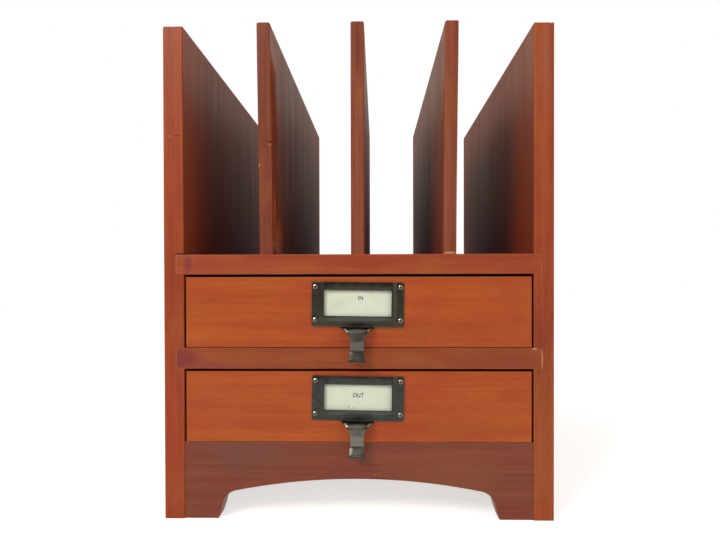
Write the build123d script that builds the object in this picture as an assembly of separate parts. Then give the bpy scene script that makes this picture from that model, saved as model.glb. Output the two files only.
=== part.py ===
"""Desk organiser in stained wood: four upright file slots over two drawers.

Row frame: +X to the right as a user faces it, +Y towards the back, +Z up. The origin is on
the floor, under the middle of the whole box that the object fills, pulls included.
Lengths are millimetres.
"""

from build123d import *
import math
import os

# ---- Case -------------------------------------------------------------------------------
case_width = 280.0
case_depth = 318.0
side_height = 355.0
side_thickness = 14.5
side_easing = 0.9          # rounded-over edges of the two sides
base_height = 55.5         # floor to the surface that the lower drawer runs on
opening_height = 53.0      # each drawer opening, surface to surface
shelf_thickness = 15.0     # board between the two drawers
deck_thickness = 14.3      # board over the drawers, the floor of the file slots
board_easing = 0.4         # front edges of deck and shelf
housing_depth = 5.5        # how far deck, shelf and bottom are let into each side
bottom_thickness = 9.0
back_thickness = 5.0
back_rebate = 6.5          # width of the rebate for the back panel, in each side

# ---- Front apron with its arch --------------------------------------------------------------
apron_thickness = 14.0
apron_setback = 1.0        # apron face behind the front edges of the sides
foot_width = 24.2          # each bracket foot, at the floor
foot_flare = 4.8           # how far the foot's inner edge leans in, from floor to arch spring
foot_hollow = 0.5          # sagitta of that edge
arch_spring = 18.5
arch_crown = 28.9
arch_corner = 12.0         # radius where the arch turns down into the foot
glue_block_size = 15.0
glue_block_height = 40.0

# ---- Dividers ---------------------------------------------------------------------------
divider_count = 3
divider_thickness = 9.7
divider_height = 166.6
divider_easing = 1.3
divider_screw_count = 2    # under each divider, through the deck
divider_screw_margin = 45.0
divider_screw_grip = 16.0  # length of screw inside the divider
divider_screw_radius = 1.75
divider_screw_head = 3.4   # head radius

# ---- Drawers ----------------------------------------------------------------------------
drawer_side_gap = 1.3
drawer_lift = 0.3          # underside of the drawer above the surface that it runs on
drawer_setback = 0.5       # drawer face behind the front edges of the sides
drawer_stop_gap = 0.3      # closed drawer to the back panel, its stop
front_height = 50.8
front_thickness = 14.0
front_easing = 0.6
front_lip = 6.0            # wood left in front of each drawer side
drawer_side_thickness = 8.0
drawer_side_height = 48.0
drawer_back_thickness = 8.0
drawer_back_inset = 10.0   # drawer back to the rear ends of the drawer sides
drawer_back_drop = 2.0     # top of the drawer back below the tops of the sides
drawer_back_housing = 3.0
floor_thickness = 4.0
floor_groove = 4.0         # depth of the groove for the drawer floor
floor_lift = 6.0           # underside of the drawer to the underside of its floor
floor_slack = 0.25         # drawer floor to the bottom of its grooves

# ---- Card-frame pull ----------------------------------------------------------------------
sheet = 1.0                # metal thickness
plate_width = 66.2
plate_corner = 1.2
side_flange = 5.1          # flat metal outside the raised frame, left and right
bottom_flange = 3.3
side_slope = 2.9           # width of the bevels of the raised frame, left and right
bottom_slope = 3.4
frame_rim = 1.0            # flat rim between bevel and window
frame_raise = 1.4          # depth of the card pocket
window_height = 18.3
window_corner = 0.5
top_border = 6.1
upper_pull_margin = 3.8    # top of the drawer front to the top of the plate
lower_pull_margin = 3.7
neck_half_width = 5.15     # the finger tab, half widths down its length
waist_half_width = 4.8
lip_half_width = 5.2
tip_half_width = 6.3
tab_root_radius = 8.9      # fillet from the plate's lower edge into the tab
crease_drop = 1.6          # plate's lower edge to the crease where the tab turns out
shoulder_reach = 7.2       # the tab's middle line: reach in front of the drawer face, and
shoulder_drop = 3.4        # drop below the plate's lower edge
belly_reach = 8.2
belly_drop = 11.0
pinch_reach = 6.0
pinch_drop = 16.8
lip_drop = 22.3
tab_length = 24.3
crease_radius = 1.2        # bend radii of that line, one for each of its inner points
shoulder_radius = 2.5
belly_radius = 8.0
pinch_radius = 5.0
lip_radius = 2.0
pull_projection = 10.1     # furthest metal in front of the drawer face
card_thickness = 0.4
card_slack = 0.6           # card to the sides of its pocket
card_fit = 0.05            # card to the wood behind it and to the slope that it rests on
card_drop = 1.5            # top of the card below the top of the plate

# ---- Fasteners --------------------------------------------------------------------------
pull_screw_top = 3.7       # screw centres below the plate's top, and above its lower edge
pull_screw_bottom = 4.6
pull_screw_radius = 0.9
pull_screw_length = 11.0
pull_screw_head = 1.75
pull_screw_dome = 1.2
head_sides = 16            # flats round a screw head, and round the hidden shank
shank_sides = 8
screw_point = 0.2          # radius at the very tip of a screw
brad_gauge = 1.1           # flat brads, as a nail gun drives them
brad_width = 1.3
brad_head_width = 2.2
brad_head_thickness = 0.6
back_brad_length = 16.0
back_brad_margin = 22.0    # outermost back brads from the ends of the back panel
drawer_brad_length = 20.0
drawer_brad_margin = 11.0  # drawer brads from the tops of the sides and from the floor
dome_rings = (1.0, 0.8, 0.5)  # rings of a domed head, as shares of its radius
recess_length = 1.2        # arm of a cross recess, end to end, as a share of the head's radius
recess_width = 0.35        # width of that arm, as a share of its length
recess_depth = 0.6
fastener_fit = 0.03        # radial clearance of every screw and brad in its hole
pick = 0.01                # how near an edge lies to the place it is picked by

# ---- Worked out ---------------------------------------------------------------------------
opening_width = case_width - 2 * side_thickness
half_opening = opening_width / 2
front_y = -(case_depth - (pull_projection - drawer_setback)) / 2
rear_y = front_y + case_depth
back_face_y = rear_y - back_thickness
shelf_z = base_height + opening_height
upper_run_z = shelf_z + shelf_thickness
deck_z = upper_run_z + opening_height
slot_floor_z = deck_z + deck_thickness
bottom_z = base_height - bottom_thickness
apron_y = front_y + apron_setback
bottom_y = apron_y + apron_thickness
slot_width = (opening_width - divider_count * divider_thickness) / (divider_count + 1)
drawer_width = opening_width - 2 * drawer_side_gap
drawer_face_y = front_y + drawer_setback
drawer_side_y = drawer_face_y + front_lip
drawer_end_y = back_face_y - drawer_stop_gap
drawer_back_y = drawer_end_y - drawer_back_inset - drawer_back_thickness
inner_drawer_width = drawer_width - 2 * drawer_side_thickness
floor_width = inner_drawer_width + 2 * (floor_groove - floor_slack)
window_z = bottom_flange + bottom_slope + frame_rim
window_width = plate_width - 2 * (side_flange + side_slope + frame_rim)
plate_height = window_z + window_height + top_border
pull_screw_x = (plate_width - side_flange) / 2


# ---- Shared shapes ------------------------------------------------------------------------
def board(x, y, z):
    """A square-edged board between two values along each axis."""
    size = (x[1] - x[0], y[1] - y[0], z[1] - z[0])
    return Pos(x[0], y[0], z[0]) * Box(*size, align=(Align.MIN,) * 3)


def across(half_width, y, z):
    """A square-edged board centred on x = 0."""
    return board((-half_width, half_width), y, z)


def standing(sketch, reach=0.0):
    """A sketch drawn as (x, z), stood up in the plane that lies reach in front of y = 0."""
    return Pos(0, -reach, 0) * (Plane.XZ * sketch)


def cross_recess(radius):
    """The cutter for a cross-shaped driver recess, opening at z = 0 towards +Z."""
    arm_length = recess_length * radius
    arm = Box(arm_length, recess_width * arm_length, 2 * recess_depth)
    return arm + Rot(0, 0, 90) * arm


def tapered_rod(stations, sides, fit=0.0):
    """A many-sided rod along Z through (height, radius) stations, larger all round by a fit.

    A radius is measured to the middle of a flat. Flats keep small fasteners light.
    """
    rod = Part()
    for (z, radius), (next_z, next_radius) in zip(stations, stations[1:]):
        rise = next_z - z
        section = RegularPolygon(radius + fit, sides, major_radius=False)
        taper = math.degrees(math.atan2(radius - next_radius, rise))
        rod += Pos(0, 0, z) * extrude(section, rise, taper=taper)
    return rod


def domed_screw(fit=0.0):
    """A small round-headed screw along Z with its seat at z = 0 and its tip below.

    With a fit it is the cutter for the screw's hole.
    """
    radius, head, dome = pull_screw_radius, pull_screw_head, pull_screw_dome
    taper_z = pull_screw_length - 2 * radius
    stations = [(0, radius), (taper_z, radius), (pull_screw_length, screw_point)]
    body = Rot(180, 0, 0) * tapered_rod(stations, shank_sides, fit)
    if fit:
        return body
    # The dome's height falls off as the square of the distance from its middle.
    rings = [(dome * (1 - share**2), head * share) for share in dome_rings]
    body += tapered_rod(rings, head_sides)
    return body - Pos(0, 0, rings[-1][0]) * cross_recess(head)


def countersunk_screw(length, fit=0.0):
    """A countersunk wood screw along Z, its flat head flush at z = 0, driven towards +Z."""
    radius, head = divider_screw_radius, divider_screw_head
    neck, taper_z = head - radius, length - 2 * radius
    stations = [(0, head), (neck, radius), (taper_z, radius), (length, screw_point)]
    screw = tapered_rod(stations, shank_sides, fit)
    return screw if fit else screw - cross_recess(head)


def brad(length, fit=0.0):
    """A flat brad along Z, its wider head flush at z = 0, driven towards +Z."""
    low = (Align.CENTER, Align.CENTER, Align.MIN)
    gauge = brad_gauge + 2 * fit
    head = Box(brad_head_width + 2 * fit, gauge, brad_head_thickness, align=low)
    return head + Box(brad_width + 2 * fit, gauge, length, align=low)


def edges_at(piece, axis, value):
    """The edges of a piece that lie at that value along an axis."""
    return piece.edges().filter_by_position(axis, value - pick, value + pick)


def with_holes(piece, cutters):
    """The piece with every cutter taken out of it."""
    for cutter in cutters:
        piece = piece - cutter
    return piece


# ---- Case -------------------------------------------------------------------------------
def divider_positions():
    """The low-X face of each divider, for equal slots."""
    pitch = slot_width + divider_thickness
    return [-half_opening + slot_width + i * pitch for i in range(divider_count)]


def divider_screws(fit=0.0):
    """Every screw that comes up through the deck into a divider."""
    run = case_depth - 2 * divider_screw_margin
    step = run / (divider_screw_count - 1)
    length = deck_thickness + divider_screw_grip
    return [
        Pos(x + divider_thickness / 2, front_y + divider_screw_margin + i * step, deck_z)
        * countersunk_screw(length, fit)
        for x in divider_positions()
        for i in range(divider_screw_count)
    ]


def back_brads(fit=0.0):
    """Brads through the back panel, into both sides, the shelf and the bottom panel."""
    side_x = half_opening + back_rebate / 2
    side_z = [
        bottom_z + back_brad_margin,
        (bottom_z + deck_z) / 2,
        deck_z - back_brad_margin,
    ]
    shelf_x = half_opening / 2
    board_z = [shelf_z + shelf_thickness / 2, bottom_z + bottom_thickness / 2]
    places = [(s * side_x, z) for s in (-1, 1) for z in side_z]
    places += [(s * shelf_x, z) for s in (-1, 1) for z in board_z]
    turn = Rot(90, 0, 0)
    return [Pos(x, rear_y, z) * turn * brad(back_brad_length, fit) for x, z in places]


def eased(piece, edges, radius):
    """The piece with those edges rounded over."""
    return fillet(edges, radius) if radius else piece


def shelf_board():
    """The board between the two drawers, before it is eased."""
    return across(
        half_opening + housing_depth, (front_y, back_face_y), (shelf_z, upper_run_z)
    )


def deck_board():
    """The board over the drawers, before it is eased."""
    return across(half_opening + housing_depth, (front_y, rear_y), (deck_z, slot_floor_z))


def bottom_board():
    """The panel under the lower drawer, housed in the sides behind the apron."""
    return across(
        half_opening + housing_depth, (bottom_y, back_face_y), (bottom_z, base_height)
    )


def back_board():
    """The thin panel that closes the back of the drawer space."""
    return across(half_opening + back_rebate, (back_face_y, rear_y), (bottom_z, deck_z))


def side_panel(hand):
    """One side, with its housings and rebate. hand is -1 for the left and 1 for the right."""
    inner, outer = hand * half_opening, hand * case_width / 2
    panel = board(sorted((inner, outer)), (front_y, rear_y), (0, side_height))
    above_floor = panel.edges().filter_by_position(Axis.Z, side_easing, side_height + pick)
    panel = eased(panel, above_floor, side_easing)
    housed = [deck_board(), shelf_board(), bottom_board(), back_board()]
    return with_holes(panel, housed + back_brads(fastener_fit))


def eased_front(blank, y):
    """A board with its two long front edges rounded over, at the plane with that y."""
    long_edges = edges_at(blank, Axis.Y, y).filter_by(Axis.X)
    return eased(blank, long_edges, board_easing)


def sorter_deck():
    """The floor of the file slots, bored for the divider screws."""
    return with_holes(eased_front(deck_board(), front_y), divider_screws(fastener_fit))


def middle_shelf():
    """The board that the upper drawer runs on."""
    return with_holes(eased_front(shelf_board(), front_y), back_brads(fastener_fit))


def bottom_panel():
    """The board that the lower drawer runs on."""
    return with_holes(bottom_board(), back_brads(fastener_fit))


def back_panel():
    """The thin back, held by brads."""
    return with_holes(back_board(), back_brads(fastener_fit))


def arch_cut():
    """The opening under the apron, drawn as (x, z): a shallow arch between flared feet."""
    toe = half_opening - foot_width
    spring = toe - foot_flare
    crown = ThreePointArc((-spring, arch_spring), (0, arch_crown), (spring, arch_spring))
    right = SagittaArc((spring, arch_spring), (toe, 0), -foot_hollow)
    left = SagittaArc((-toe, 0), (-spring, arch_spring), -foot_hollow)
    face = make_face(crown + right + Line((toe, 0), (-toe, 0)) + left)
    corners = face.vertices().sort_by(Axis.Y)[-2:]
    return fillet(corners, arch_corner)


def front_apron():
    """The arched board between the sides under the lower drawer, ending in bracket feet."""
    blank = across(half_opening, (apron_y, bottom_y), (0, base_height))
    cut = extrude(standing(arch_cut(), -bottom_y), bottom_y - apron_y)
    return blank - cut


def glue_blocks():
    """Three-cornered blocks that hold the apron's feet to the sides, out of sight."""
    block = Polyline((0, 0), (glue_block_size, 0), (0, glue_block_size), close=True)
    right_angle = extrude(make_face(block), glue_block_height)
    top = bottom_z - glue_block_height
    left = Pos(-half_opening, bottom_y, top) * right_angle
    right = Pos(half_opening, bottom_y, top) * Rot(0, 0, 90) * right_angle
    return [left, right]


def divider(index):
    """One upright divider, its top and end edges rounded over, bored from below."""
    x = divider_positions()[index]
    top = slot_floor_z + divider_height
    blank = board((x, x + divider_thickness), (front_y, rear_y), (slot_floor_z, top))
    upright = blank.edges().filter_by(Axis.Z)
    along_top = edges_at(blank, Axis.Z, top)
    blank = eased(blank, upright + along_top, divider_easing)
    return with_holes(blank, divider_screws(fastener_fit))


# ---- Drawers ----------------------------------------------------------------------------
# A drawer is drawn with its underside at z = 0, and lifted into its opening at the end.
def drawer_brads(fit=0.0):
    """Brads through the drawer sides into the front and the back, two at each corner."""
    floor_z = floor_lift + floor_thickness
    heights = [floor_z + drawer_brad_margin, drawer_side_height - drawer_brad_margin]
    front_joint_y = drawer_side_y + (front_thickness - front_lip) / 2
    back_joint_y = drawer_back_y + drawer_back_thickness / 2
    made = []
    for hand in (-1, 1):
        for y in (front_joint_y, back_joint_y):
            for z in heights:
                place = Pos(hand * drawer_width / 2, y, z) * Rot(0, -hand * 90, 0)
                made.append(place * brad(drawer_brad_length, fit))
    return made


def floor_board(slack=0.0):
    """The thin drawer floor, which runs from the groove in the front to under the back."""
    front = drawer_face_y + front_thickness - floor_groove + floor_slack - slack
    rear = drawer_back_y + drawer_back_thickness
    return across(
        floor_width / 2 + slack, (front, rear), (floor_lift, floor_lift + floor_thickness)
    )


def drawer_front(cutters):
    """The drawer front: rebated for the sides, grooved for the floor, bored for the pull."""
    rear = drawer_face_y + front_thickness
    front = across(drawer_width / 2, (drawer_face_y, rear), (0, front_height))
    face_edges = edges_at(front, Axis.Y, drawer_face_y)
    front = eased(front, face_edges, front_easing)
    for hand in (-1, 1):
        reach = sorted((hand * inner_drawer_width / 2, hand * drawer_width))
        front -= board(reach, (drawer_side_y, rear + 1), (-1, front_height + 1))
    groove = floor_board(floor_slack) & across(
        drawer_width, (drawer_face_y, rear), (0, front_height)
    )
    return with_holes(front - groove, cutters)


def drawer_side(hand, cutters):
    """One drawer side, grooved for the floor and housed for the back."""
    reach = sorted((hand * inner_drawer_width / 2, hand * drawer_width / 2))
    side = board(reach, (drawer_side_y, drawer_end_y), (0, drawer_side_height))
    inner = inner_drawer_width / 2
    groove = across(
        inner + floor_groove,
        (drawer_side_y, drawer_end_y),
        (floor_lift, floor_lift + floor_thickness),
    )
    return with_holes(side - groove - drawer_back_board(), cutters)


def drawer_back_board():
    """The drawer back, which stands on the floor between the sides."""
    top = drawer_side_height - drawer_back_drop
    return across(
        inner_drawer_width / 2 + drawer_back_housing,
        (drawer_back_y, drawer_back_y + drawer_back_thickness),
        (floor_lift + floor_thickness, top),
    )


# ---- Card-frame pull ----------------------------------------------------------------------
# The pull is drawn with its plate's lower edge at z = 0 and the drawer face at y = 0.
def bend_radii(points, wanted):
    """The wanted bend radii of a path, each no larger than the runs beside it allow."""
    limited = []
    for before, at, after, radius in zip(points, points[1:], points[2:], wanted):
        run_in, run_out = Vector(at) - Vector(before), Vector(after) - Vector(at)
        half_turn = math.radians(run_in.get_angle(run_out)) / 2
        shorter = min(run_in.length, run_out.length)
        limited.append(min(radius, 0.45 * shorter / math.tan(half_turn)))
    return limited


def tab_ribbon():
    """The strip of sheet that the finger tab is bent from, wider than the tab."""
    tip_reach = pull_projection - sheet / 2
    middle_line = [
        (sheet / 2, -2 * sheet),
        (sheet / 2, crease_drop),
        (shoulder_reach, shoulder_drop),
        (belly_reach, belly_drop),
        (pinch_reach, pinch_drop),
        (tip_reach, lip_drop),
        (tip_reach, tab_length),
    ]
    points = [(0, -reach, -drop) for reach, drop in middle_line]
    wanted = [crease_radius, shoulder_radius, belly_radius, pinch_radius, lip_radius]
    radii = bend_radii(points, wanted)
    path = FilletPolyline(*points, radius=radii)
    strip = Rectangle(plate_width, sheet)
    return sweep(Plane(path @ 0, x_dir=(1, 0, 0), z_dir=path % 0) * strip, path=path)


def tab_outline():
    """The tab's outline from the front, drawn as (x, z): filleted root, waist and tip."""
    lip_z, tip_z = -lip_drop, -tab_length
    root = -tab_root_radius
    middle_z = (root + lip_z) / 2
    fillet_x = neck_half_width + tab_root_radius
    lean = (1 - math.cos(math.pi / 4)) * tab_root_radius  # to the middle of the fillet
    sides = []
    for hand in (-1, 1):
        sides += [
            ThreePointArc(
                (hand * fillet_x, 0),
                (hand * (neck_half_width + lean), -lean),
                (hand * neck_half_width, root),
            ),
            ThreePointArc(
                (hand * neck_half_width, root),
                (hand * waist_half_width, middle_z),
                (hand * lip_half_width, lip_z),
            ),
            Line((hand * lip_half_width, lip_z), (hand * tip_half_width, tip_z)),
        ]
    top = 2 * sheet
    cap = Polyline((-fillet_x, 0), (-fillet_x, top), (fillet_x, top), (fillet_x, 0))
    end = Line((-tip_half_width, tip_z), (tip_half_width, tip_z))
    return make_face(sides + [cap, end])


def raised_frame(back_shift=0.0):
    """The bevelled hump over the card, which runs out at the plate's top edge.

    Shifted back by the sheet's thickness it is the cutter for the card pocket.
    """
    past_top = 2 * plate_height
    foot_half = plate_width / 2 - side_flange
    outlines = []
    for half, low, reach in (
        (foot_half, bottom_flange, 0.0),
        (foot_half - side_slope, bottom_flange + bottom_slope, frame_raise),
    ):
        outline = Pos(0, (low + past_top) / 2) * Rectangle(2 * half, past_top - low)
        outlines.append(standing(outline, reach + sheet - back_shift))
    return loft(outlines)


def pull_screw_places():
    """The four screw centres on the plate, as (x, z)."""
    heights = (pull_screw_bottom, plate_height - pull_screw_top)
    return [(hand * pull_screw_x, z) for hand in (-1, 1) for z in heights]


def pull_screws(fit=0.0):
    """The four screws, driven through the plate into the drawer front."""
    turn = Rot(90, 0, 0)
    return [Pos(x, -sheet, z) * turn * domed_screw(fit) for x, z in pull_screw_places()]


def pull_plate():
    """The pull: a flat flange, the raised card frame, and the finger tab, in one sheet."""
    middle = Pos(0, plate_height / 2)
    outline = middle * RectangleRounded(plate_width, plate_height, plate_corner)
    window = Pos(0, window_z + window_height / 2) * RectangleRounded(
        window_width, window_height, window_corner
    )
    plate = extrude(standing(outline), sheet)
    hump = raised_frame() & extrude(standing(outline), pull_projection)
    pocket = raised_frame(sheet) & board(
        (-plate_width, plate_width), (-pull_projection, 0), (0, 2 * plate_height)
    )
    tab = tab_ribbon() & extrude(standing(tab_outline()), 2 * pull_projection)
    pull = plate + hump - pocket - extrude(standing(window), pull_projection) + tab
    return with_holes(pull, pull_screws(fastener_fit))


def label_card():
    """The paper card that drops into the pocket from above and rests on its lower slope."""
    face = card_fit + card_thickness
    low = bottom_flange + bottom_slope * face / frame_raise + card_fit
    half = plate_width / 2 - side_flange - side_slope * face / frame_raise - card_slack
    return across(half, (-face, -card_fit), (low, plate_height - card_drop))


# ---- Assembly -----------------------------------------------------------------------------
def drawer_nodes(name, run_z, pull_margin):
    """All the pieces of one drawer, in place, under their node names."""
    lift = Pos(0, 0, run_z + drawer_lift)
    plate_z = front_height - pull_margin - plate_height
    on_front = Pos(0, drawer_face_y, plate_z)
    brad_cutters = drawer_brads(fastener_fit)
    screw_cutters = [on_front * cutter for cutter in pull_screws(fastener_fit)]
    pieces = {
        "front": drawer_front(brad_cutters + screw_cutters),
        "left_side": drawer_side(-1, brad_cutters),
        "right_side": drawer_side(1, brad_cutters),
        "back": with_holes(drawer_back_board(), brad_cutters),
        "floor": floor_board(),
        "brads": Compound(children=drawer_brads()),
        "pull": on_front * pull_plate(),
        "card": on_front * label_card(),
        "pull_screws": Compound(children=[on_front * s for s in pull_screws()]),
    }
    return {f"{name}_drawer_{part}": lift * piece for part, piece in pieces.items()}


def case_nodes():
    """All the fixed pieces, under their node names."""
    nodes = {
        "left_side_panel": side_panel(-1),
        "right_side_panel": side_panel(1),
        "sorter_deck": sorter_deck(),
        "middle_shelf": middle_shelf(),
        "bottom_panel": bottom_panel(),
        "back_panel": back_panel(),
        "front_apron": front_apron(),
        "apron_glue_blocks": Compound(children=glue_blocks()),
        "divider_screws": Compound(children=divider_screws()),
        "back_panel_brads": Compound(children=back_brads()),
    }
    for index in range(divider_count):
        nodes[f"slot_divider_{index + 1}"] = divider(index)
    return nodes


def main():
    nodes = case_nodes()
    nodes.update(drawer_nodes("upper", upper_run_z, upper_pull_margin))
    nodes.update(drawer_nodes("lower", base_height, lower_pull_margin))
    os.makedirs("parts", exist_ok=True)
    for name, piece in nodes.items():
        export_step(piece, f"parts/{name}.step")


main()
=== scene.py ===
# %% [markdown]
# # A desk file sorter with two drawers
#
# This lesson dresses a finished CAD model of a small wooden desk sorter. The CAD model gives every
# board its true size and place. Blender adds what the eye needs: stained wood with its grain, the
# stamped metal pulls with their domed screws, and the paper labels behind them.
#
# All lengths are in metres, because the CAD model is. The front of the sorter faces -Y, and the
# floor is z = 0.

# %% Load the frame
import math

import bmesh
import bpy
from mathutils import Matrix, Vector


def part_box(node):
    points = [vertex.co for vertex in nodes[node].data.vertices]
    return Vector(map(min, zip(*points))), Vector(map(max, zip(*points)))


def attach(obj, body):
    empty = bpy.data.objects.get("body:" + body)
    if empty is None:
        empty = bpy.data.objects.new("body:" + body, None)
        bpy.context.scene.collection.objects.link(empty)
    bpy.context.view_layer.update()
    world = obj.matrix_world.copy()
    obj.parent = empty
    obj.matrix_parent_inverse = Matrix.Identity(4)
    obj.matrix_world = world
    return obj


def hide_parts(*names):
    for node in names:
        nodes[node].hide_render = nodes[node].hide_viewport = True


MM = 0.001
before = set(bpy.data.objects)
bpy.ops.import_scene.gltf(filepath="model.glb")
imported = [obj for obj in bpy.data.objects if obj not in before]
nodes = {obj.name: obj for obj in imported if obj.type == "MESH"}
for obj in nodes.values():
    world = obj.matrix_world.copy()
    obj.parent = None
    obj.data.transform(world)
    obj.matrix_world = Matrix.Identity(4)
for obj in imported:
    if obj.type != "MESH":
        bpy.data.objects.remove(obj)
bpy.ops.object.select_all(action="DESELECT")
bpy.context.scene.view_settings.view_transform = "Standard"
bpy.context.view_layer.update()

# %% [markdown]
# ## The camera
#
# The photograph was taken from close by, level with the drawers, with a wide phone lens. A long
# lens would flatten the slots, so the focal length matters more here than the lighting does. The
# place, the small turn and the shift below were found by laying the CAD model's corners over the
# photograph's corners.

# %% The camera
camera_data = bpy.data.cameras.new("photo_camera")
camera_data.sensor_width = 36.0
camera_data.lens = 27.5
camera_data.shift_x = -0.0086
camera_data.shift_y = 0.02125
camera_data.clip_start = 0.01
camera = bpy.data.objects.new("photo_camera", camera_data)
bpy.context.scene.collection.objects.link(camera)
turn = (
    Matrix.Rotation(math.radians(-0.12), 3, "Y")
    @ Matrix.Rotation(math.radians(0.47), 3, "X")
    @ Matrix.Rotation(math.radians(-1.14), 3, "Z")
)
look_along_y = Matrix.Rotation(math.radians(90), 3, "X")
place = Matrix.Translation(Vector((13.9, -548.1, 171.7)) * MM)
camera.matrix_world = place @ (turn.transposed() @ look_along_y).to_4x4()
bpy.context.scene.camera = camera
print("camera at", [round(v, 4) for v in camera.matrix_world.translation])

# %% [markdown]
# ## Helpers for materials
#
# A material is a small graph of nodes. One function adds a node, sets it up and links its inputs,
# and a few short ones on top of it name the steps that come back in every material, so each
# material below reads as a list of what it is made of. Colours are written as the hex values that a
# colour picker shows, and one function turns them into the linear values the renderer works with.


# %% Helpers for materials
def linear(code):
    """An sRGB hex colour as linear red, green, blue and an alpha of 1."""
    values = [int(code[i : i + 2], 16) / 255 for i in (1, 3, 5)]
    return (*(v / 12.92 if v <= 0.04045 else ((v + 0.055) / 1.055) ** 2.4 for v in values), 1.0)


def add(tree, kind, settings=None, stops=None, **inputs):
    """Adds one node. An input is a value, or another node's socket to link from."""
    node = tree.nodes.new(kind)
    for name, value in (settings or {}).items():
        setattr(node, name, value)
    for spot, colour in stops or []:
        near = [e for e in node.color_ramp.elements if abs(e.position - spot) < 1e-6]
        (near[0] if near else node.color_ramp.elements.new(spot)).color = colour
    for name, value in inputs.items():
        socket = node.inputs[int(name[1:]) if name[1:].isdigit() else name.replace("_", " ")]
        if isinstance(value, bpy.types.NodeSocket):
            tree.links.new(value, socket)
        else:
            socket.default_value = value
    return node


def fresh_material(name):
    """A new material, its empty graph, and the object's own coordinates in metres."""
    material = bpy.data.materials.new(name)
    material.use_nodes = True
    tree = material.node_tree
    tree.nodes.clear()
    return material, tree, add(tree, "ShaderNodeTexCoord").outputs["Object"]


def maths(tree, operation, *values):
    """One step of arithmetic."""
    inputs = {f"_{index}": value for index, value in enumerate(values)}
    return add(tree, "ShaderNodeMath", {"operation": operation}, **inputs).outputs[0]


def spread(tree, value, start, end, low, high, smooth=False):
    """Takes a value from the range start..end to the range low..high."""
    return add(
        tree, "ShaderNodeMapRange", {"interpolation_type": "SMOOTHSTEP" if smooth else "LINEAR"},
        Value=value, From_Min=start, From_Max=end, To_Min=low, To_Max=high,
    ).outputs[0]


def blended(tree, share, under, over, how="MIX"):
    """Lays one colour over another by a share from 0 to 1."""
    return add(
        tree, "ShaderNodeMix", {"data_type": "RGBA", "blend_type": how},
        _0=share, _6=under, _7=over,
    ).outputs[2]


def tinted(tree, value, *stops):
    """A colour ramp. Each stop is a place from 0 to 1 and a hex colour."""
    stops = [(spot, linear(code)) for spot, code in stops]
    return add(tree, "ShaderNodeValToRGB", Fac=value, stops=stops).outputs["Color"]


def stretched(tree, at, shift, across, lengths):
    """Coordinates that make a noise `across` mm wide, and longer along the axes in lengths."""
    scale = [1 / (lengths.get(axis, across) * MM) for axis in "XYZ"]
    return add(tree, "ShaderNodeMapping", Vector=at, Location=shift, Scale=scale).outputs[0]


def noise(tree, at, scale=1.0, detail=3.0, roughness=0.5, distortion=0.0):
    """A soft noise from 0 to 1."""
    return add(
        tree, "ShaderNodeTexNoise",
        Vector=at, Scale=scale, Detail=detail, Roughness=roughness, Distortion=distortion,
    ).outputs["Fac"]


def bumped(tree, height, strength, distance):
    """A normal that follows a fine relief. The distance is in mm."""
    return add(
        tree, "ShaderNodeBump", Strength=strength, Distance=distance * MM, Height=height
    ).outputs[0]


def corner_wear(tree, radius, start, end, share):
    """Grows to a share on corners, which the Bevel node finds within a radius in mm."""
    true_face = add(tree, "ShaderNodeNewGeometry").outputs["Normal"]
    rounded_face = add(tree, "ShaderNodeBevel", {"samples": 4}, Radius=radius * MM).outputs[0]
    same = add(
        tree, "ShaderNodeVectorMath", {"operation": "DOT_PRODUCT"}, _0=true_face, _1=rounded_face
    )
    return spread(tree, same.outputs["Value"], start, end, 0.0, share)


def faces_along(tree, axis, start, end, low, high):
    """Goes from low to high as a face looks more and more along an axis."""
    normal = add(tree, "ShaderNodeNewGeometry").outputs["Normal"]
    part = add(tree, "ShaderNodeSeparateXYZ", Vector=normal).outputs[axis]
    return spread(tree, maths(tree, "ABSOLUTE", part), start, end, low, high)


def coat(tree, **inputs):
    """Ends a material with one Principled shader."""
    surface = add(tree, "ShaderNodeBsdfPrincipled", **inputs)
    add(tree, "ShaderNodeOutputMaterial", Surface=surface.outputs[0])


print("white is", linear("#FFFFFF"), "and mid grey is", [round(v, 3) for v in linear("#808080")])

# %% [markdown]
# ## Light and surroundings
#
# The object stands in a bright white studio. The world gives an even pale light. A soft lamp at
# the upper left draws the gentle shadows under the pulls, and a weaker one at the right fills them.
# White behind the object is not made with more light, which would wash out the wood: camera rays
# see a white world, while the light that falls on the object stays at a plain level.
#
# Glossy rays see a room instead: bright behind the object, dimmer towards the front, and dark along
# the foot of the far wall. That darkness gives the varnished boards their deep middle tones.

# %% The world
ROOM_WHITE, NOTHING = (1.03, 0.98, 0.88, 1), (0.0, 0.0, 0.0, 1)
# What the far wall takes away from that white, by the height that a ray points to.
WALL_TAKES = [
    (0.0, (0.96, 0.90, 0.79, 1)),
    (0.08, (0.93, 0.88, 0.77, 1)),
    (0.16, (0.71, 0.68, 0.62, 1)),
    (0.24, (0.43, 0.42, 0.39, 1)),
    (0.34, (0.22, 0.22, 0.22, 1)),
    (0.6, (0.1, 0.1, 0.1, 1)),
    (1.0, (0.1, 0.1, 0.1, 1)),
]
world = bpy.data.worlds.new("white_studio")
bpy.context.scene.world = world
world.use_nodes = True
tree = world.node_tree
tree.nodes.clear()
ways = add(tree, "ShaderNodeTexCoord").outputs["Generated"]
parts = add(tree, "ShaderNodeSeparateXYZ", Vector=ways)
to_front = spread(tree, parts.outputs["Y"], -0.6, 0.5, 0.2, 1.0, smooth=True)
to_wall = spread(tree, parts.outputs["Y"], 0.3, 0.8, 0.0, 1.0, smooth=True)
takes = add(tree, "ShaderNodeValToRGB", Fac=parts.outputs["Z"], stops=WALL_TAKES)
wall = blended(tree, to_wall, NOTHING, takes.outputs["Color"])
deep = blended(tree, 1.0, ROOM_WHITE, wall, "SUBTRACT")
room = blended(tree, 1.0, deep, to_front, "MULTIPLY")
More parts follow.
